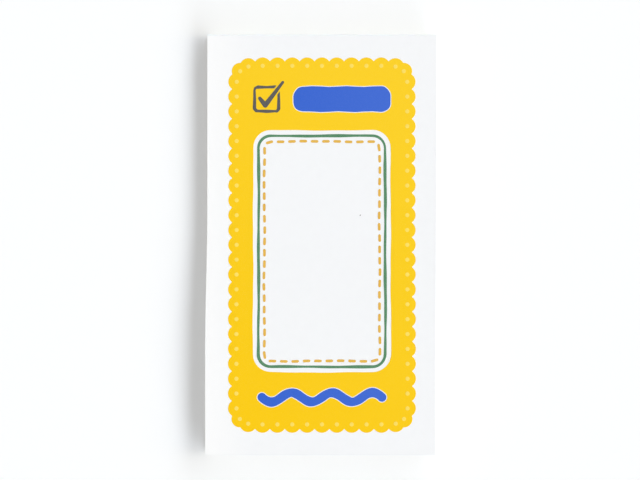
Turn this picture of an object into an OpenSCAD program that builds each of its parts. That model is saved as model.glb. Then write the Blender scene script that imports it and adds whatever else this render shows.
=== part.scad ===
// A tear-off notepad that lies on its back. Loose printed sheets are stacked on a
// backing board and held together by a film of padding glue along the head. Towards
// the foot the sheets have parted a little, so the stack rises there, and the upper
// ones have slipped to the left.
// X runs across the pad, Y from the loose foot up to the glued head, and Z up
// from the surface that the board lies on, which is Z = 0 at the board's centre.

/* [Sheets] */
// Width of a sheet
sheet_w = 76.5; // [74:0.5:110]
// Length of a sheet, from the loose foot to the glued head
sheet_l = 140; // [130:0.5:210]
// Thickness of one sheet
sheet_t = 0.11; // [0.08:0.01:0.16]
// Number of sheets in the pad
sheet_count = 50; // [20:1:80]
// Difference between the edges of neighbouring sheets where they are loose
edge_step = 0.04; // [0.02:0.01:0.08]

/* [Loose end] */
// Distance from the head at which the sheets begin to part
loose_from = 58; // [35:1:70]
// Distance from the head at which they lie level again
loose_to = 105; // [85:1:120]
// How much higher the top sheet lies at the foot than at the head
lift = 1.7; // [0.4:0.1:3]
// How far the top sheet has slipped to the left at the foot
slip = 0.55; // [0.2:0.05:1.5]

/* [Binding] */
// Thickness of the backing board
board_t = 1; // [0.4:0.1:2.5]
// Thickness of the glue film at its crown
glue_t = 0.4; // [0.3:0.05:0.8]
// Thickness of the glue film at its upper and lower rims
glue_rim_t = 0.15; // [0.05:0.05:0.25]

/* [Printed field] */
// Thickness of a printed layer
ink_t = 0.05; // [0.03:0.01:0.1]
// White margin from the sheet's sides to the crowns of the scallops
side_margin = 7; // [4:0.5:8]
// White margin from the head to the crowns of the scallops
head_margin = 7.5; // [4:0.5:9]
// White margin from the foot to the crowns of the scallops
foot_margin = 7.5; // [4:0.5:9]
// Depth of a scallop
scallop_depth = 1.3; // [0.8:0.1:1.6]
// Width of a scallop, before it is rounded so that an even number of them fits the edge
scallop_pitch = 5; // [4:0.1:8]
// Corner radius of the line on which the scallops stand
field_r = 5; // [4:0.5:10]
// Radius of a dot beside each scallop
dot_r = 0.7; // [0.4:0.05:0.9]
// Distance from the feet of the scallops to the middle of the dots
dot_inset = 1.5; // [1.2:0.1:1.8]

/* [Writing window] */
// Width of the band between the scallops and the window, at the sides
side_band = 7; // [5:0.1:8.5]
// Height of the band between the scallops and the window, at the head
head_band = 23; // [20:0.1:32]
// Height of the band between the scallops and the window, at the foot
foot_band = 18.8; // [15:0.1:32]
// Corner radius of the window
window_r = 6; // [5.5:0.5:10]
// Bare paper between the window's edge and the green line
green_gap = 1.4; // [0.6:0.1:1.6]
// Width of the green line
green_w = 0.9; // [0.6:0.05:1.2]
// Bare paper between the green line and the orange stitches
orange_gap = 1; // [0.4:0.1:1.6]
// Width of a stitch
orange_w = 0.9; // [0.6:0.05:1.2]
// Length of a stitch
stitch_l = 2.6; // [1.8:0.1:4]
// Space between two stitches, before they are rounded to a whole number
stitch_gap = 1.2; // [0.8:0.1:2]
// How far a drawn line wanders to each side
wander = 0.15; // [0.05:0.01:0.18]

/* [Heading] */
// Side of the tick box
box_side = 9; // [7:0.5:10]
// Width of the tick box's line
box_line = 0.95; // [0.6:0.05:1.3]
// Corner radius of the tick box
box_r = 1.6; // [1.4:0.1:3]
// Width of the tick where it starts
tick_start_w = 1.2; // [0.8:0.1:1.6]
// Width of the tick at its heel
tick_heel_w = 1.7; // [1.2:0.1:2.2]
// Width of the tick at its tip
tick_tip_w = 0.9; // [0.6:0.1:1.4]
// Clear space between the tick and the box's line
tick_gap = 0.45; // [0.2:0.05:0.8]
// Height of the heading bar
bar_h = 8.4; // [7:0.2:9]
// Corner radius of the heading bar
bar_r = 3.2; // [1:0.1:3.4]
// Space between the tick box and the heading bar
heading_gap = 4.5; // [4:0.25:7]

/* [Wave] */
// How much further in than the window's sides the wave ends
wave_inset = 1.5; // [0:0.5:3]
// Width of the brush stroke that draws the wave
wave_w = 3; // [2:0.1:3.4]
// How far the wave swings up and down
wave_swing = 1.6; // [1:0.1:1.8]
// Number of swings along the wave
wave_count = 3; // [2:1:3]
// Bare paper left between the yellow and the blue
seam = 0.25; // [0.1:0.05:0.4]

/* [Hidden] */

paper_white = [0.97, 0.98, 0.99];
board_grey = [0.68, 0.64, 0.57];
glue_white = [0.94, 0.94, 0.91];
yellow = [0.99, 0.81, 0.1];
pale_yellow = [0.99, 0.88, 0.4];
orange = [0.91, 0.72, 0.33];
green = [0.33, 0.53, 0.4];
blue = [0.22, 0.41, 0.82];
charcoal = [0.34, 0.34, 0.33];

// Stack heights at the head, where the glue holds the sheets down
block_base = board_t;
block_top = board_t + sheet_count * sheet_t;
tall = 2 * (block_top + lift);

head = sheet_l / 2;
foot = -sheet_l / 2;
bend_from = head - loose_from;
bend_l = loose_to - loose_from;
bend_steps = 6;

// Power of its share of the stack's height by which a sheet has slipped, so that the upper ones slip most
slip_power = 5;

// Printed field, as the rounded rectangle on which the scallops stand
field_w = sheet_w - 2 * (side_margin + scallop_depth);
field_l = sheet_l - head_margin - foot_margin - 2 * scallop_depth;
field_y = (foot_margin - head_margin) / 2;
scallop_count = 2 * round(edge_length(field_w, field_l, field_r) / scallop_pitch / 2);
scallop_steps = 8;
dot_zone = dot_inset + dot_r;

// Writing window with the line and the stitches inside it
window_w = field_w - 2 * side_band;
window_l = field_l - head_band - foot_band;
window_y = field_y + (foot_band - head_band) / 2;
stitch_inset = green_gap + green_w + orange_gap + orange_w / 2;

// Heading, as wide as the window and centred between the dots and the window
heading_y = window_y + window_l / 2 + (head_band - dot_zone) / 2;
box_x = (box_side - window_w) / 2;
bar_l = window_w - box_side - heading_gap;
bar_x = (window_w - bar_l) / 2;

// Wave, centred in the same way at the foot
wave_y = window_y - window_l / 2 - (foot_band - dot_zone) / 2;
wave_l = window_w - 2 * wave_inset - wave_w;
wave_steps = 72;

// The tick's start, heel and tip, measured from the box's centre
box_half = box_side / 2;
tick_start = [-0.5, 0.05] * box_half;
tick_heel = [-0.1, -0.45] * box_half;
tick_tip = [1.2, 1.25] * box_half;

// Where in its swing each drawn edge starts to wander
window_phase = 20;
stitch_phase = 110;
green_phase = 250;
bar_phase = 200;
box_phase = 160;
wave_phase = 300;
inner_phase = 70;

// Points along a straight side, round a corner and round the end of a stroke
side_step = 3;
corner_steps = 8;
stroke_steps = 8;
stitch_steps = 4;

function turn(p) = [-p[1], p[0]];
function unit(angle) = [cos(angle), sin(angle)];
function backwards(points) = [for (i = [len(points) - 1 : -1 : 0]) points[i]];

// Length of the edge of a rounded rectangle
function edge_length(w, l, r) = 2 * (w + l) - 8 * r + 2 * PI * r;

// Point at distance s along that edge, anticlockwise from the foot of its right side
function edge_point(w, l, r, s) =
    let (side = l - 2 * r, corner = PI * r / 2)
    s < side ? [w / 2, s - side / 2]
    : s < side + corner ? [w / 2 - r, side / 2] + r * unit((s - side) / corner * 90)
    : turn(edge_point(l, w, r, s - side - corner));

// Direction that faces outwards at distance s along that edge
function edge_facing(w, l, r, s) =
    let (side = l - 2 * r, corner = PI * r / 2)
    s < side ? 0
    : s < side + corner ? (s - side) / corner * 90
    : 90 + edge_facing(l, w, r, s - side - corner);

// Distances along that edge at which an outline has its points
function stations(w, l, r, from = 0, quarter = 0) =
    let (side = l - 2 * r, corner = PI * r / 2, steps = ceil(side / side_step))
    quarter == 4 ? []
    : concat(
        [for (i = [0 : steps - 1]) from + side * i / steps],
        [for (i = [0 : corner_steps - 1]) from + side + corner * i / corner_steps],
        stations(l, w, r, from + side + corner, quarter + 1)
    );

// How far a line drawn by hand strays at the share u of its length,
// as one long swing with a shorter one on top
function stray(u, phase) =
    wander * (0.65 * sin(7 * 360 * u + phase) + 0.35 * sin(19 * 360 * u + 3 * phase));

// Point at distance s along that edge as a hand would draw it
function drawn_point(w, l, r, s, phase) =
    edge_point(w, l, r, s) + stray(s / edge_length(w, l, r), phase) * unit(edge_facing(w, l, r, s));

// Rounded rectangle drawn by hand, inset from w by l
function drawn_outline(w, l, r, inset, phase) =
    let (w1 = w - 2 * inset, l1 = l - 2 * inset, r1 = r - inset)
    [for (s = stations(w1, l1, r1)) drawn_point(w1, l1, r1, s, phase)];

// Height of a circular scallop above its chord, at the share t of the chord
function scallop_rise(t, chord, depth) =
    let (r = (chord * chord / 4 + depth * depth) / (2 * depth))
    sqrt(r * r - pow(chord * (t - 0.5), 2)) - r + depth;

// Ends of each scallop's chord, as [start, end], from the scallop at the middle of the right side
function scallop_chords(w, l, r, count) =
    let (pitch = edge_length(w, l, r) / count, from = l / 2 - r - pitch / 2)
    [for (k = [0 : count - 1])
        [edge_point(w, l, r, from + k * pitch), edge_point(w, l, r, from + (k + 1) * pitch)]];

function outwards(chord) = -turn(chord[1] - chord[0]) / norm(chord[1] - chord[0]);

function scalloped_outline(w, l, r, count, depth) =
    [for (chord = scallop_chords(w, l, r, count))
        for (i = [0 : scallop_steps - 1])
            let (t = i / scallop_steps)
            chord[0] * (1 - t) + chord[1] * t
                + scallop_rise(t, norm(chord[1] - chord[0]), depth) * outwards(chord)];

// How loose the sheets are at y, from 0 near the head to 1 near the foot
function looseness(y) =
    let (t = min(max((bend_from - y) / bend_l, 0), 1))
    (1 - cos(180 * t)) / 2;

// Height of the upper side of a pile of sheets at y, or a little above it
function pile_height(y, sheets, above) =
    block_base + sheets * (sheet_t + lift / sheet_count * looseness(y)) + above;

// Places along the pad at which its profile bends, from one end to the other
function bends(from, to) =
    concat([from], [for (i = [0 : bend_steps]) bend_from - bend_l * i / bend_steps], [to]);

// Profile of that pile from beyond the head to beyond the foot
function pile_line(sheets, above = 0) =
    [for (y = bends(sheet_l, -sheet_l)) [y, pile_height(y, sheets, above)]];

// How far sheet i has slipped to the left at the foot, counted up from the board
function sheet_slip(i) =
    slip * pow(i / (sheet_count - 1), slip_power) + edge_step * ((7 * i) % 5 - 2);

// How far its end lies back from the foot
function sheet_setback(i) = edge_step * ((3 * i) % 4);

function sheet_outline(i) =
    let (ys = bends(head, foot + sheet_setback(i)))
    concat(
        [for (y = ys) [-sheet_w / 2 - sheet_slip(i) * looseness(y), y]],
        [for (y = backwards(ys)) [sheet_w / 2 - sheet_slip(i) * looseness(y), y]]
    );

// Half circle of radius r round a point, ahead of a heading
function stroke_end(p, r, heading, steps) =
    [for (i = [0 : steps]) p + r * unit(heading - 90 + 180 * i / steps)];

// Straight stroke from a to b with round ends, wa wide at a and wb wide at b
function stroke_outline(a, b, wa, wb, steps) =
    let (heading = atan2(b[1] - a[1], b[0] - a[0]))
    concat(stroke_end(b, wb / 2, heading, steps), stroke_end(a, wa / 2, heading + 180, steps));

// Middle of the wave's stroke at the share t of its length, and the heading there
function wave_middle(t) =
    let (x = wave_l * (t - 0.5))
    [x, wave_swing * sin(360 * wave_count * x / wave_l)];
function wave_heading(t) =
    atan(wave_swing * 2 * PI * wave_count / wave_l * cos(360 * wave_count * (t - 0.5)));

// One side of that stroke, at half its width r from the middle
function wave_side(r, side) =
    [for (i = [1 : wave_steps - 1])
        let (t = i / wave_steps)
        wave_middle(t) + side * (r + stray(t / 2, wave_phase * side)) * unit(wave_heading(t) + 90)];

// Wave as one brush stroke with round ends, grown by a margin on every side
function wave_outline(grow) =
    let (r = wave_w / 2 + grow)
    concat(
        wave_side(r, -1),
        stroke_end(wave_middle(1), r, wave_heading(1), stroke_steps),
        backwards(wave_side(r, 1)),
        stroke_end(wave_middle(0), r, wave_heading(0) + 180, stroke_steps)
    );

// Slab between two profiles, wider than the pad
module between(lower, upper)
    translate([-sheet_w, 0, 0])
        rotate([90, 0, 90])
            linear_extrude(2 * sheet_w)
                polygon(concat(lower, backwards(upper)));

// One layer of ink, of which layer 0 lies on the top sheet and layer 1 on the yellow
module ink(layer)
    intersection() {
        between(pile_line(sheet_count, layer * ink_t), pile_line(sheet_count, (layer + 1) * ink_t));
        linear_extrude(tall)
            children();
    }

module drawn_line(w, l, r, inset, width, phase)
    difference() {
        polygon(drawn_outline(w, l, r, inset, phase));
        polygon(drawn_outline(w, l, r, inset + width, phase + inner_phase));
    }

// Stitches along the edge of a rounded rectangle
module stitched_line(w, l, r, width, phase) {
    count = round(edge_length(w, l, r) / (stitch_l + stitch_gap));
    pitch = edge_length(w, l, r) / count;
    for (k = [0 : count - 1]) {
        a = drawn_point(w, l, r, k * pitch, phase);
        b = drawn_point(w, l, r, k * pitch + stitch_l - width, phase);
        polygon(stroke_outline(a, b, width, width, stitch_steps));
    }
}

module window_shape()
    translate([0, window_y])
        polygon(drawn_outline(window_w, window_l, window_r, 0, window_phase));

module bar_shape(grow)
    translate([bar_x, heading_y])
        polygon(drawn_outline(bar_l, bar_h, bar_r, -grow, bar_phase));

module wave_shape(grow)
    translate([0, wave_y])
        polygon(wave_outline(grow));

module tick_shape(grow)
    translate([box_x, heading_y])
        union() {
            polygon(stroke_outline(tick_start, tick_heel,
                tick_start_w + 2 * grow, tick_heel_w + 2 * grow, stroke_steps));
            polygon(stroke_outline(tick_heel, tick_tip,
                tick_heel_w + 2 * grow, tick_tip_w + 2 * grow, stroke_steps));
        }

// Stack of sheets, glued at the head and loose at the foot
module page_block()
    color(paper_white)
        union() {
            for (i = [0 : sheet_count - 1])
                intersection() {
                    between(pile_line(i), pile_line(i + 1));
                    linear_extrude(tall)
                        polygon(sheet_outline(i));
                }
        }

module backing_board()
    color(board_grey)
        translate([-sheet_w / 2, foot, 0])
            cube([sheet_w, sheet_l, board_t]);

// Film of flexible glue, brushed over the head of the sheets and the board
module glue_binding() {
    bulge = glue_t - glue_rim_t;
    crown_r = (pow(block_top / 2, 2) + bulge * bulge) / (2 * bulge);
    color(glue_white)
        translate([-sheet_w / 2, head, 0])
            rotate([90, 0, 90])
                linear_extrude(sheet_w)
                    intersection() {
                        square([glue_t, block_top]);
                        translate([glue_t - crown_r, block_top / 2])
                            circle(crown_r, $fn = 720);
                    }
}

module yellow_field()
    color(yellow)
        ink(0)
            difference() {
                translate([0, field_y])
                    polygon(scalloped_outline(field_w, field_l, field_r, scallop_count, scallop_depth));
                window_shape();
                bar_shape(seam);
                wave_shape(seam);
            }

module pale_dots()
    color(pale_yellow)
        ink(1)
            translate([0, field_y])
                for (chord = scallop_chords(field_w, field_l, field_r, scallop_count))
                    translate((chord[0] + chord[1]) / 2 - dot_inset * outwards(chord))
                        circle(dot_r, $fn = 12);

module green_line()
    color(green)
        ink(0)
            translate([0, window_y])
                drawn_line(window_w, window_l, window_r, green_gap, green_w, green_phase);

module orange_line()
    color(orange)
        ink(0)
            translate([0, window_y])
                stitched_line(window_w - 2 * stitch_inset, window_l - 2 * stitch_inset,
                    window_r - stitch_inset, orange_w, stitch_phase);

module blue_bar()
    color(blue)
        ink(0)
            bar_shape(0);

module blue_wave()
    color(blue)
        ink(0)
            wave_shape(0);

// Box round the tick, with its line broken where the tick runs through it
module tick_box()
    color(charcoal)
        ink(1)
            difference() {
                translate([box_x, heading_y])
                    drawn_line(box_side, box_side, box_r, 0, box_line, box_phase);
                tick_shape(tick_gap);
            }

module tick_mark()
    color(charcoal)
        ink(1)
            tick_shape(0);

page_block();
backing_board();
glue_binding();
yellow_field();
pale_dots();
green_line();
orange_line();
blue_bar();
blue_wave();
tick_box();
tick_mark();
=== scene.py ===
"""Looks of a tear-off notepad that lies face up: loose sheets, a brushed glue film,
a chipboard back and flat printing ink, under plain soft studio light."""

import math

import bmesh
import bpy
import numpy as np
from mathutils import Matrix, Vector, noise

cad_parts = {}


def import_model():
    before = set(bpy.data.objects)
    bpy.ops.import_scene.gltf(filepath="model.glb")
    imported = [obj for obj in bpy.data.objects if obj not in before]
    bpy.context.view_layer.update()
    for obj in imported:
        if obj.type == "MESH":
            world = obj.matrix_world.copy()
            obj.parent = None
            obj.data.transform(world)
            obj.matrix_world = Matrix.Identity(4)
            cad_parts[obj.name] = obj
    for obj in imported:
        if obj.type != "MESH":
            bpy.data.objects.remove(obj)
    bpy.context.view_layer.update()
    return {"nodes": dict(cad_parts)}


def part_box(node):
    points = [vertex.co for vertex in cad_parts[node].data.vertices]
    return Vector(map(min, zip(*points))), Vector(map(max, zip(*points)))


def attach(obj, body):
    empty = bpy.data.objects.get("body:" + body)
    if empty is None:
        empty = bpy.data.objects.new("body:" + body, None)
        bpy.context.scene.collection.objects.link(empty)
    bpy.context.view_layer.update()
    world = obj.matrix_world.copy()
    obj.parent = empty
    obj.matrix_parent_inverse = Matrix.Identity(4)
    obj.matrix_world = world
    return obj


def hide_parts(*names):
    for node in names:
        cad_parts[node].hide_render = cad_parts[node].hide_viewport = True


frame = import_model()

MM = 0.001

# The pad, as the frame gives it, in metres
BOARD_LOW, BOARD_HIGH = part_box("backing_board")
GLUE_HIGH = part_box("glue_binding")[1]
BLOCK_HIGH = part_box("page_block")[1]
SHEET_W = BOARD_HIGH.x - BOARD_LOW.x
HEAD = BOARD_HIGH.y
FOOT = BOARD_LOW.y

# The stack's own sizes, as in part.scad
SHEET_COUNT = 50
EDGE_STEP = 0.04 * MM
SLIP = 0.55 * MM
SLIP_POWER = 5
LOOSE_FROM = 58 * MM
LOOSE_TO = 105 * MM
BEND_STEPS = 6
SHEET_PITCH = (GLUE_HIGH.z - BOARD_HIGH.z) / SHEET_COUNT
LIFT = BLOCK_HIGH.z - GLUE_HIGH.z
BENDS = [HEAD - LOOSE_FROM - (LOOSE_TO - LOOSE_FROM) * i / BEND_STEPS for i in range(BEND_STEPS + 1)]
EASED = [(1 - math.cos(math.pi * i / BEND_STEPS)) / 2 for i in range(BEND_STEPS + 1)]

# Each sheet as paper: its thickness, its mesh, and how it ripples in the air that the lift gives it
PAPER_T = 0.104 * MM
SHEET_COLUMNS = 16
FOOT_STEPS = 5
RIPPLE_SHARE = 0.6
RIPPLE_ACROSS = 9 * MM
RIPPLE_ALONG = 14 * MM
RIPPLE_PER_SHEET = 0.37

# Glue film: crown and rim stand proud of the head, and the lip lies on the top sheet
GLUE_CROWN = GLUE_HIGH.y - HEAD
GLUE_RIM = 0.15 * MM
GLUE_BASE = 0.02 * MM
GLUE_SECTIONS = 180
GLUE_STEPS = 26
LIP_W = 0.25 * MM
LIP_WANDER = 0.8
LIP_WANDER_L = 2.6 * MM
LIP_TIP_T = 0.002 * MM
LIP_MIDDLE = 0.6
LIP_MIDDLE_T = 0.022 * MM
LIP_CREST_Y = 0.01 * MM
LIP_CREST_T = 0.035 * MM

# Brush strokes and lumps on the film: length along the head, height, and share of the crown
CROWN_SHARE = 0.93
STROKE_L = 22 * MM
STROKE_H = 0.45 * MM
STROKE_SHARE = 0.10
LUMP_L = 4 * MM
LUMP_H = 1.6 * MM
LUMP_SHARE = 0.07

# Slices through the noise, so that no two patterns are alike
LIP_SLICE = 3.1
STROKE_SLICE = 1.7
LUMP_SLICE = 8.3

# Edges that turn by more than this many degrees stay sharp
SHARP_FROM = 30

# The photograph's view: straight down on the pad, at about 3 pixels to the millimetre
IMAGE_W = 640
IMAGE_H = 480
PIXEL = MM / 2.9975
PAD_MIDDLE_PX = (321.95, 244.8)
SPECK_PX = (360.2, 215.2)
LENS = 85
SENSOR = 36


def in_photo(px):
    """Place on the pad, in metres, of a pixel of the photograph."""
    return Vector(((px[0] - PAD_MIDDLE_PX[0]) * PIXEL, (PAD_MIDDLE_PX[1] - px[1]) * PIXEL))


def srgb(red, green, blue):
    """Linear colour of an 8-bit screen colour."""
    return tuple(
        c / 12.92 if c <= 0.04045 else ((c + 0.055) / 1.055) ** 2.4
        for c in (red / 255, green / 255, blue / 255)
    ) + (1.0,)


PAPER = srgb(248, 250, 252)
PAPER_DIM = srgb(245, 247, 249)
# Colour of the painted highlight on the paper's left margin
PAPER_LIT = srgb(254, 255, 255)
# Grey of the painted shade on the paper's cut edges
CUT_EDGE_SHADE = srgb(208, 208, 204)
SPECK = srgb(138, 137, 136)
YELLOW_DEEP = srgb(252, 204, 12)
YELLOW_PALE = srgb(253, 211, 42)
PALE_YELLOW = srgb(252, 224, 102)
BLUE_DEEP = srgb(52, 100, 208)
BLUE_PALE = srgb(72, 112, 214)
ORANGE_DEEP = srgb(226, 172, 64)
ORANGE_PALE = srgb(232, 192, 92)
GREEN_DEEP = srgb(72, 128, 90)
GREEN_PALE = srgb(104, 150, 116)
CHARCOAL_DEEP = srgb(84, 84, 82)
CHARCOAL_PALE = srgb(104, 104, 102)
BOARD = srgb(172, 162, 146)
BOARD_DARK = srgb(138, 126, 108)
BOARD_LIGHT = srgb(196, 188, 174)
GLUE = srgb(242, 242, 236)
GLUE_THIN = srgb(232, 233, 228)
FLOOR = srgb(252, 254, 255)
WHITE = (1.0, 1.0, 1.0, 1.0)

# Depth of each surface's relief
PAPER_RELIEF = 0.012 * MM
INK_RELIEF = 0.008 * MM
BOARD_RELIEF = 0.03 * MM
GLUE_RELIEF = 0.02 * MM

# Places in the finishes, in millimetres: the painted highlight on the left margin, the speck's rim and the
# glue's clear lip
MARGIN_INNER_X = -22
MARGIN_OUTER_X = -37
SPECK_RIM = 0.36
SPECK_CORE = 0.28
CLEAR_LIP = 0.3

# Sockets of a colour Mix node
MIX_SHARE = 0
MIX_A = 6
MIX_B = 7
MIX_RESULT = 2


def looseness(y):
    """From 0 near the head to 1 near the foot, straight between the places where the stack bends."""
    return float(np.interp(-y, [-bend for bend in BENDS], EASED))


def pile_height(y, sheets_below):
    """Height at y of that many sheets on the board."""
    return BOARD_HIGH.z + sheets_below * (SHEET_PITCH + LIFT / SHEET_COUNT * looseness(y))


class Finish:
    """A material under construction. Its coordinates are the row frame's, in millimetres."""

    def __init__(self, name, roughness, specular):
        self.material = bpy.data.materials.new(name)
        self.material.use_nodes = True
        self.tree = self.material.node_tree
        self.shader = self.tree.nodes["Principled BSDF"]
        self.shader.inputs["Roughness"].default_value = roughness
        self.shader.inputs["Specular IOR Level"].default_value = specular
        place = self.add("ShaderNodeTexCoord").outputs["Object"]
        self.mm = self.vector("SCALE", place, scale=1 / MM)

    def add(self, kind, **settings):
        """New node of that kind."""
        node = self.tree.nodes.new(kind)
        for key, value in settings.items():
            setattr(node, key, value)
        return node

    def feed(self, socket, value):
        """Link another socket to this one, or set its value."""
        if isinstance(value, bpy.types.NodeSocket):
            self.tree.links.new(value, socket)
        else:
            socket.default_value = value

    def vector(self, operation, a, b=None, scale=None):
        """Result of a vector operation."""
        node = self.add("ShaderNodeVectorMath", operation=operation)
        self.feed(node.inputs[0], a)
        if b is not None:
            self.feed(node.inputs[1], b)
        if scale is not None:
            self.feed(node.inputs["Scale"], scale)
        return node.outputs["Value" if operation in ("DOT_PRODUCT", "LENGTH") else "Vector"]

    def math(self, operation, a, b=0.0):
        """Result of an operation on numbers."""
        node = self.add("ShaderNodeMath", operation=operation)
        self.feed(node.inputs[0], a)
        self.feed(node.inputs[1], b)
        return node.outputs[0]

    def along(self, direction):
        """Place along a direction, in millimetres times the direction's length."""
        return self.vector("DOT_PRODUCT", self.mm, direction)

    def noise(self, per_mm, detail=2.0, stretch=(1, 1, 1), rough=0.5):
        """Noise from 0 to 1 with per_mm lumps to the millimetre, times stretch along each axis."""
        node = self.add("ShaderNodeTexNoise")
        self.feed(node.inputs["Vector"], self.vector("MULTIPLY", self.mm, stretch))
        self.feed(node.inputs["Scale"], per_mm)
        self.feed(node.inputs["Detail"], detail)
        self.feed(node.inputs["Roughness"], rough)
        return node.outputs[0]

    def tooth(self):
        """Fine unevenness of uncoated paper, from 0 to 1."""
        return self.noise(per_mm=7, detail=3, rough=0.65)

    def spread(self, value, low, high):
        """Value mapped from low and high to 0 and 1, and held there."""
        node = self.add("ShaderNodeMapRange", clamp=True)
        self.feed(node.inputs["Value"], value)
        self.feed(node.inputs["From Min"], low)
        self.feed(node.inputs["From Max"], high)
        return node.outputs[0]

    def mix(self, share, a, b):
        """Colour a turned into b by that share."""
        node = self.add("ShaderNodeMix", data_type="RGBA")
        self.feed(node.inputs[MIX_SHARE], share)
        self.feed(node.inputs[MIX_A], a)
        self.feed(node.inputs[MIX_B], b)
        return node.outputs[MIX_RESULT]

    def sum(self, a, b):
        """Both numbers added."""
        return self.math("ADD", a, b)

    def scaled(self, value, by):
        """Number multiplied by a factor."""
        return self.math("MULTIPLY", value, by)

    def colour(self, value):
        """Set the surface's colour."""
        self.feed(self.shader.inputs["Base Color"], value)

    def bump(self, height, depth):
        """Relief from a height of 0 to 1, depth metres deep."""
        node = self.add("ShaderNodeBump")
        self.feed(node.inputs["Height"], height)
        node.inputs["Distance"].default_value = depth
        self.feed(self.shader.inputs["Normal"], node.outputs["Normal"])


def painted_margin_highlight(f, base):
    """Colour of the paper with a painted highlight: a left margin a little brighter than the rest."""
    outwards = f.spread(f.along((1, 0, 0)), low=MARGIN_INNER_X, high=MARGIN_OUTER_X)
    return f.mix(f.scaled(outwards, by=0.75), base, PAPER_LIT)


def painted_edge_shade(f, base):
    """Colour of the paper with painted shade on its cut edges, a little greyer than the face, each sheet in
    its own degree.
    """
    geometry = f.add("ShaderNodeNewGeometry")
    normal = f.add("ShaderNodeSeparateXYZ")
    f.feed(normal.inputs[0], geometry.outputs["Normal"])
    edge = f.spread(f.math("ABSOLUTE", normal.outputs["Z"]), low=0.8, high=0.3)
    tone = f.sum(f.scaled(geometry.outputs["Random Per Island"], by=0.65), 0.35)
    return f.mix(f.math("MULTIPLY", edge, tone), base, CUT_EDGE_SHADE)


def specked(f, base):
    """Colour of the paper with one grey speck of ragged outline on the writing window."""
    spot = in_photo(SPECK_PX)
    spot_mm = (spot.x / MM, spot.y / MM, pile_height(spot.y, SHEET_COUNT) / MM)
    away = f.vector("LENGTH", f.vector("SUBTRACT", f.mm, spot_mm))
    ragged = f.sum(away, f.scaled(f.noise(per_mm=6), by=0.25))
    return f.mix(f.spread(ragged, low=SPECK_RIM, high=SPECK_CORE), base, SPECK)


def paper():
    """Uncoated white paper with tooth, faint clouds and one grey speck, with painted shade on its cut edges
    and a painted highlight on its left margin.
    """
    f = Finish("paper", roughness=0.92, specular=0.12)
    clouds = f.spread(f.noise(per_mm=0.32, detail=3), low=0.3, high=0.7)
    fibres = f.spread(f.noise(per_mm=2.2, detail=3, stretch=(1, 4, 1), rough=0.6), low=0.35, high=0.65)
    base = f.mix(f.scaled(clouds, by=0.6), PAPER, PAPER_DIM)
    base = f.mix(f.scaled(fibres, by=0.25), base, PAPER_DIM)
    # Painted highlight: the left margin turns brighter than the rest
    base = painted_margin_highlight(f, base)
    # Painted shade: the cut edges turn greyer than the face
    base = painted_edge_shade(f, base)
    base = specked(f, base)
    f.colour(base)
    f.bump(f.sum(f.scaled(f.tooth(), by=0.7), f.scaled(fibres, by=0.3)), PAPER_RELIEF)
    return f.material


def ink(name, deep, pale, painted_sheen_drift=(0, 0, 0), lift=0.3, gaps=0.10):
    """Flat ink soaked into paper. It turns from deep to pale along drift, a share per millimetre, which
    paints a sheen that pales it towards the lit side, and with the mottle's lift, and leaves that share of
    gaps on the paper's tooth."""
    f = Finish(name, roughness=0.86, specular=0.1)
    mottle = f.math("SUBTRACT", f.noise(per_mm=1.6, detail=4, rough=0.6), 0.5)
    share = f.sum(f.sum(f.along(painted_sheen_drift), 0.5), f.scaled(mottle, by=lift))
    base = f.mix(f.spread(share, low=0, high=1), deep, pale)
    tooth = f.tooth()
    flecks = f.spread(tooth, low=0.60, high=0.74)
    f.colour(f.mix(f.scaled(flecks, by=gaps), base, PAPER))
    f.bump(tooth, INK_RELIEF)
    return f.material


def chipboard():
    """Grey board of pulped fibres, with darker and lighter flecks."""
    f = Finish("chipboard", roughness=0.93, specular=0.15)
    pulp = f.spread(f.noise(per_mm=0.45, detail=5, stretch=(1, 2, 3), rough=0.7), low=0.36, high=0.64)
    flecks = f.spread(f.noise(per_mm=1.1, stretch=(1, 2.6, 4)), low=0.59, high=0.65)
    lint = f.spread(f.noise(per_mm=0.9, stretch=(2.8, 1, 4)), low=0.61, high=0.67)
    base = f.mix(f.scaled(pulp, by=0.7), BOARD, BOARD_LIGHT)
    base = f.mix(f.scaled(flecks, by=0.8), base, BOARD_DARK)
    base = f.mix(f.scaled(lint, by=0.7), base, BOARD_LIGHT)
    f.colour(base)
    grit = f.noise(per_mm=5, detail=3)
    f.bump(f.sum(f.scaled(pulp, by=0.6), f.scaled(grit, by=0.4)), BOARD_RELIEF)
    return f.material


def padding_glue():
    """Dried white glue with a soft sheen, greyer in streaks and clear where it is thin."""
    f = Finish("padding_glue", roughness=0.42, specular=0.35)
    streaks = f.spread(f.noise(per_mm=0.9, detail=4, stretch=(0.12, 1, 2.6), rough=0.6), low=0.3, high=0.7)
    base = f.mix(f.scaled(streaks, by=0.7), GLUE, GLUE_THIN)
    # The lip on the top sheet lets the paper show through
    top = GLUE_HIGH.z / MM
    clear = f.spread(f.along((0, 0, 1)), low=top - CLEAR_LIP, high=top)
    f.colour(f.mix(clear, base, PAPER))
    f.shader.inputs["Subsurface Weight"].default_value = 0.15
    f.shader.inputs["Subsurface Scale"].default_value = 0.4 * MM
    f.bump(f.noise(per_mm=3, detail=3, stretch=(0.3, 1, 1.8)), GLUE_RELIEF)
    return f.material


def give(obj, material):
    """Make this the object's only material."""
    obj.data.materials.clear()
    obj.data.materials.append(material)


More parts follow.
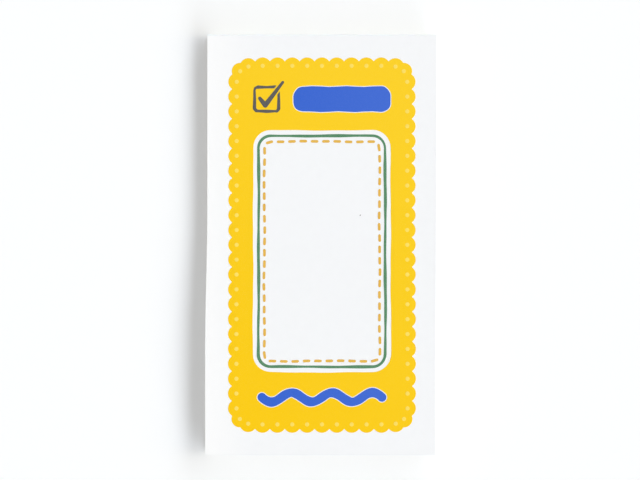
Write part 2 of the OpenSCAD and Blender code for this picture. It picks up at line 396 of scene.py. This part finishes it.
def mesh_piece(name, points, faces, material):
    """New piece on the root body, with smooth faces between its sharp edges."""
    mesh = bpy.data.meshes.new(name)
    mesh.from_pydata(points, [], faces)
    mesh.validate()
    work = bmesh.new()
    work.from_mesh(mesh)
    bmesh.ops.recalc_face_normals(work, faces=work.faces)
    for face in work.faces:
        face.smooth = True
    for edge in work.edges:
        edge.smooth = edge.calc_face_angle(0) < math.radians(SHARP_FROM)
    work.to_mesh(mesh)
    work.free()
    piece = bpy.data.objects.new(name, mesh)
    bpy.context.scene.collection.objects.link(piece)
    give(piece, material)
    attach(piece, "root")
    return piece


# Stack of sheets


def sheet_slip(i):
    """How far sheet i has slipped to the left at the foot, counted up from the board."""
    return SLIP * (i / (SHEET_COUNT - 1)) ** SLIP_POWER + EDGE_STEP * ((7 * i) % 5 - 2)


def sheet_setback(i):
    """How far the foot of sheet i lies behind the board's foot."""
    return EDGE_STEP * ((3 * i) % 4)


def sheet_rows(i):
    """Places along sheet i, from the head to its own foot."""
    rows = [HEAD, HEAD - LOOSE_FROM / 2]
    for near, far in zip(BENDS, BENDS[1:]):
        rows += [near, (near + far) / 2]
    last = BENDS[-1]
    foot = FOOT + sheet_setback(i)
    return rows + [last + (foot - last) * k / FOOT_STEPS for k in range(FOOT_STEPS + 1)]


def ripple(i, x, y):
    """How far sheet i sags below its place where it is loose. The printed top sheet lies flat."""
    if i == SHEET_COUNT - 1:
        return 0.0
    room = RIPPLE_SHARE * (LIFT / SHEET_COUNT) * looseness(y)
    wave = noise.noise(Vector((x / RIPPLE_ACROSS, y / RIPPLE_ALONG, i * RIPPLE_PER_SHEET)))
    return room * (0.5 + 0.5 * wave)


def sheet_points(i, rows):
    """Points of sheet i, row by row from the head. Each upper one is followed by the one below it."""
    points = []
    for y in rows:
        left = -SHEET_W / 2 - sheet_slip(i) * looseness(y)
        for c in range(SHEET_COLUMNS + 1):
            x = left + SHEET_W * c / SHEET_COLUMNS
            top = pile_height(y, i + 1) - ripple(i, x, y)
            points += [(x, y, top), (x, y, top - PAPER_T)]
    return points


def sheet_faces(first, last_row):
    """Both sides and the four cut edges of a sheet, where first is the number of its first point."""
    wide = SHEET_COLUMNS + 1
    upper = [[first + 2 * (r * wide + c) for c in range(wide)] for r in range(last_row + 1)]
    faces = []
    for near, far in zip(upper, upper[1:]):
        for c in range(SHEET_COLUMNS):
            faces.append((near[c], far[c], far[c + 1], near[c + 1]))
            faces.append((near[c] + 1, near[c + 1] + 1, far[c + 1] + 1, far[c] + 1))
        for c in (0, SHEET_COLUMNS):
            faces.append((near[c], near[c] + 1, far[c] + 1, far[c]))
    for c in range(SHEET_COLUMNS):
        for row in (upper[0], upper[last_row]):
            faces.append((row[c], row[c + 1], row[c + 1] + 1, row[c] + 1))
    return faces


def sheets():
    """Every sheet as paper of its own thickness, with air between them where they have parted."""
    points = []
    faces = []
    for i in range(SHEET_COUNT):
        rows = sheet_rows(i)
        faces += sheet_faces(len(points), len(rows) - 1)
        points += sheet_points(i, rows)
    stack = mesh_piece("sheets", points, faces, paper())
    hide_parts("page_block")


# Glue film


def lip_outline(x, top):
    """Outline of the lip at x, from its tip on the top sheet to its crest over the head."""
    lip = LIP_W * (1 + LIP_WANDER * noise.noise(Vector((x / LIP_WANDER_L, LIP_SLICE, 0))))
    return [
        (HEAD - lip, top + LIP_TIP_T),
        (HEAD - lip * LIP_MIDDLE, top + LIP_MIDDLE_T),
        (HEAD + LIP_CREST_Y, top + LIP_CREST_T),
    ]


def film_proud(x, z, share_down):
    """How far the film stands proud of the head: a crown between two rims, with strokes and lumps."""
    crown = GLUE_RIM + (GLUE_CROWN - GLUE_RIM) * (1 - (2 * share_down - 1) ** 2)
    strokes = noise.noise(Vector((x / STROKE_L, z / STROKE_H, STROKE_SLICE)))
    lumps = noise.noise(Vector((x / LUMP_L, z / LUMP_H, LUMP_SLICE)))
    return crown * (CROWN_SHARE + STROKE_SHARE * strokes + LUMP_SHARE * lumps)


def glue_section(x):
    """Closed outline of the film at x: over the top sheet's edge, down the face and back."""
    top = GLUE_HIGH.z
    height = top - GLUE_BASE
    outline = lip_outline(x, top)
    for k in range(GLUE_STEPS + 1):
        share_down = k / GLUE_STEPS
        z = top - height * share_down
        outline.append((HEAD + film_proud(x, z, share_down), z))
    return outline + [(HEAD, GLUE_BASE), (HEAD, top)]


def glue_film():
    """Padding glue brushed on in strokes along the head, with an uneven lip on the top sheet."""
    points = []
    for s in range(GLUE_SECTIONS + 1):
        x = BOARD_LOW.x + SHEET_W * s / GLUE_SECTIONS
        outline = glue_section(x)
        points += [(x, y, z) for y, z in outline]
    ring = len(outline)
    faces = []
    for s in range(GLUE_SECTIONS):
        this = s * ring
        after = this + ring
        for k in range(ring):
            n = (k + 1) % ring
            faces.append((this + k, this + n, after + n, after + k))
    for end in (0, GLUE_SECTIONS * ring):
        faces.append(tuple(range(end, end + ring)))
    film = mesh_piece("glue_film", points, faces, padding_glue())
    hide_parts("glue_binding")


# Print and board


def print_finishes():
    """Every printed area and the board keep their own solids and get their finish."""
    # Painted sheen: the blue turns paler towards the lit right side
    blue = ink("ink_blue", BLUE_DEEP, BLUE_PALE, painted_sheen_drift=(0.013, 0, 0), lift=0.4)
    charcoal = ink("ink_charcoal", CHARCOAL_DEEP, CHARCOAL_PALE, lift=1.5, gaps=0.2)
    finishes = {
        # Painted sheen: the yellow turns paler towards the right and the head
        "yellow_field": ink("ink_yellow", YELLOW_DEEP, YELLOW_PALE, painted_sheen_drift=(0.004, 0.005, 0)),
        "pale_dots": ink("ink_pale_yellow", PALE_YELLOW, PALE_YELLOW),
        "orange_line": ink("ink_orange", ORANGE_DEEP, ORANGE_PALE, lift=1.2, gaps=0.3),
        "green_line": ink("ink_green", GREEN_DEEP, GREEN_PALE, lift=1.6, gaps=0.4),
        "blue_bar": blue,
        "blue_wave": blue,
        "tick_box": charcoal,
        "tick_mark": charcoal,
        "backing_board": chipboard(),
    }
    for node, material in finishes.items():
        give(frame["nodes"][node], material)


# Studio: a fan of lamps on the right draws the soft shadow on the left, and a top lamp and the world fill it

COOL = (0.94, 0.99, 1.07)
NEUTRAL = (1.0, 1.0, 1.0)
AMBER = (1.4, 1.1, 0.55)
WARM = (1.02, 1.0, 0.98)
# Azimuth and elevation in degrees, level and tint of each lamp of the fan
KEY_LAMPS = (
    (-62, 22, 0.085, COOL),
    (-36, 38, 0.10, COOL),
    (0, 30, 0.035, AMBER),
    (0, 48, 0.15, NEUTRAL),
    (36, 38, 0.085, COOL),
    (62, 22, 0.055, COOL),
)
# Spread of a lamp in degrees, which softens its shadow
KEY_SPREAD = 27
TOP_SPREAD = 12
TOP_LEVEL = 0.27
SKY_LEVEL = 0.21
FLOOR_GLOW = 0.02
FLOOR_REACH = 3.0
FLOOR_Z = -0.01 * MM


def floor():
    """Plain pale sheet under the pad."""
    corners = [
        (-FLOOR_REACH, -FLOOR_REACH, FLOOR_Z),
        (FLOOR_REACH, -FLOOR_REACH, FLOOR_Z),
        (FLOOR_REACH, FLOOR_REACH, FLOOR_Z),
        (-FLOOR_REACH, FLOOR_REACH, FLOOR_Z),
    ]
    mesh = bpy.data.meshes.new("floor")
    mesh.from_pydata(corners, [], [(0, 1, 2, 3)])
    plane = bpy.data.objects.new("floor", mesh)
    bpy.context.scene.collection.objects.link(plane)
    f = Finish("floor", roughness=1.0, specular=0.0)
    f.colour(FLOOR)
    f.shader.inputs["Emission Color"].default_value = FLOOR
    f.feed(f.shader.inputs["Emission Strength"], f.scaled(seen_directly(f.tree), by=FLOOR_GLOW))
    give(plane, f.material)


def sun(name, azimuth, elevation, level, spread, tint):
    """Lamp far away, which adds level to a level white surface. Azimuth 0 is along +X."""
    a = math.radians(azimuth)
    e = math.radians(elevation)
    lamp = bpy.data.lights.new(name, "SUN")
    lamp.energy = level * math.pi / math.sin(e)
    lamp.angle = math.radians(spread)
    lamp.color = tint
    holder = bpy.data.objects.new(name, lamp)
    towards = Vector((math.cos(a) * math.cos(e), math.sin(a) * math.cos(e), math.sin(e)))
    holder.rotation_mode = "QUATERNION"
    holder.rotation_quaternion = towards.to_track_quat("Z", "Y")
    bpy.context.scene.collection.objects.link(holder)


def seen_directly(tree):
    """Socket that is 1 for what the camera sees, also in gloss and through glass."""
    path = tree.nodes.new("ShaderNodeLightPath")
    seen = path.outputs["Is Camera Ray"]
    for name in ("Is Glossy Ray", "Is Transmission Ray"):
        either = tree.nodes.new("ShaderNodeMath")
        either.operation = "MAXIMUM"
        tree.links.new(seen, either.inputs[0])
        tree.links.new(path.outputs[name], either.inputs[1])
        seen = either.outputs[0]
    return seen


def background(tree, colour, strength):
    """Shader socket of plain light."""
    node = tree.nodes.new("ShaderNodeBackground")
    node.inputs["Color"].default_value = colour
    node.inputs["Strength"].default_value = strength
    return node.outputs[0]


def world(level, tint):
    """Even light of that level, with white behind the object."""
    scene_world = bpy.data.worlds.new("studio")
    bpy.context.scene.world = scene_world
    scene_world.use_nodes = True
    tree = scene_world.node_tree
    tree.nodes.clear()
    mixer = tree.nodes.new("ShaderNodeMixShader")
    out = tree.nodes.new("ShaderNodeOutputWorld")
    tree.links.new(seen_directly(tree), mixer.inputs[0])
    tree.links.new(background(tree, (*tint, 1.0), level), mixer.inputs[1])
    tree.links.new(background(tree, WHITE, 1.0), mixer.inputs[2])
    tree.links.new(mixer.outputs[0], out.inputs[0])


def camera():
    """Straight down on the pad, so that the printed face fills the frame as in the photograph."""
    lens = bpy.data.cameras.new("camera")
    lens.lens = LENS
    lens.sensor_width = SENSOR
    holder = bpy.data.objects.new("camera", lens)
    middle = in_photo((IMAGE_W / 2, IMAGE_H / 2))
    distance = IMAGE_W * PIXEL * LENS / SENSOR
    holder.location = (middle.x, middle.y, GLUE_HIGH.z + distance)
    bpy.context.scene.collection.objects.link(holder)
    bpy.context.scene.camera = holder


sheets()
glue_film()
print_finishes()
floor()
for azimuth, elevation, level, tint in KEY_LAMPS:
    sun(f"key_{azimuth}_{elevation}", azimuth, elevation, level, KEY_SPREAD, tint)
sun("top", 0, 90, TOP_LEVEL, TOP_SPREAD, WARM)
world(SKY_LEVEL, WARM)
camera()
bpy.context.scene.view_settings.view_transform = "Standard"
